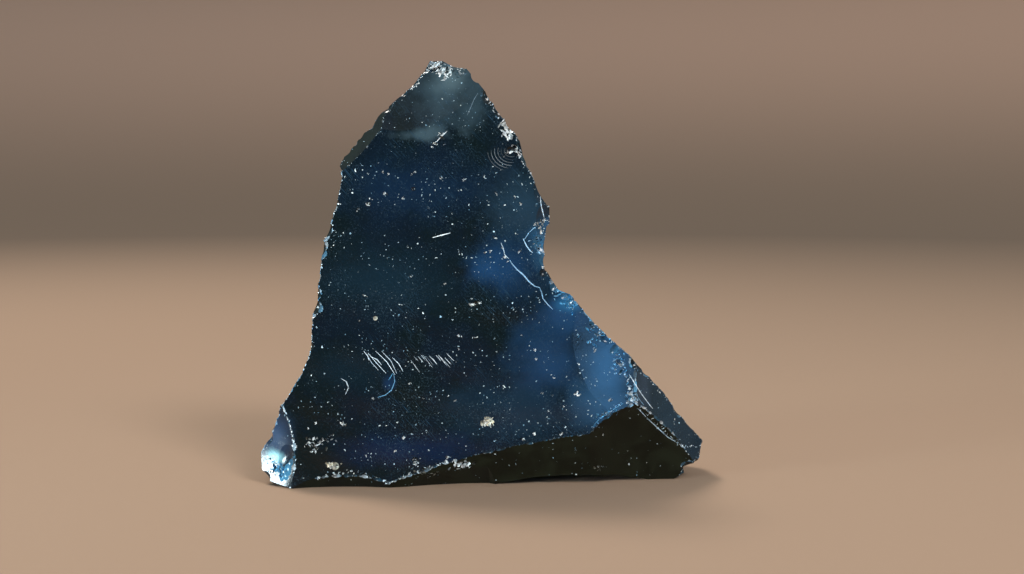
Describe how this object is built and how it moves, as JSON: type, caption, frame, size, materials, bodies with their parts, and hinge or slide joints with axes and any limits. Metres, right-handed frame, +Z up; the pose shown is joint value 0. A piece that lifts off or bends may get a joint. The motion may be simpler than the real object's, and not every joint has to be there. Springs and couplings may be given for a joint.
{
  "type": "obsidian chunk",
  "caption": "Hand-sized lump of black volcanic glass with a broad flat face, shell-shaped fracture scars, chipped sharp ridges and a flat underside to stand on.",
  "frame": {"origin": "below the middle of the stone's box, on the surface it stands on", "axes": "+X from the toe to the tip, to the right across the broad face; the broad face looks to -Y; +Z up to the peak"},
  "size_m": [0.1146, 0.0462, 0.1079],
  "materials": {
    "obsidian": "glassy fracture, near-black with a cold blue cast"
  },
  "bodies": {
    "root": {"obsidian_chunk": "obsidian"}
  },
  "joints": []
}
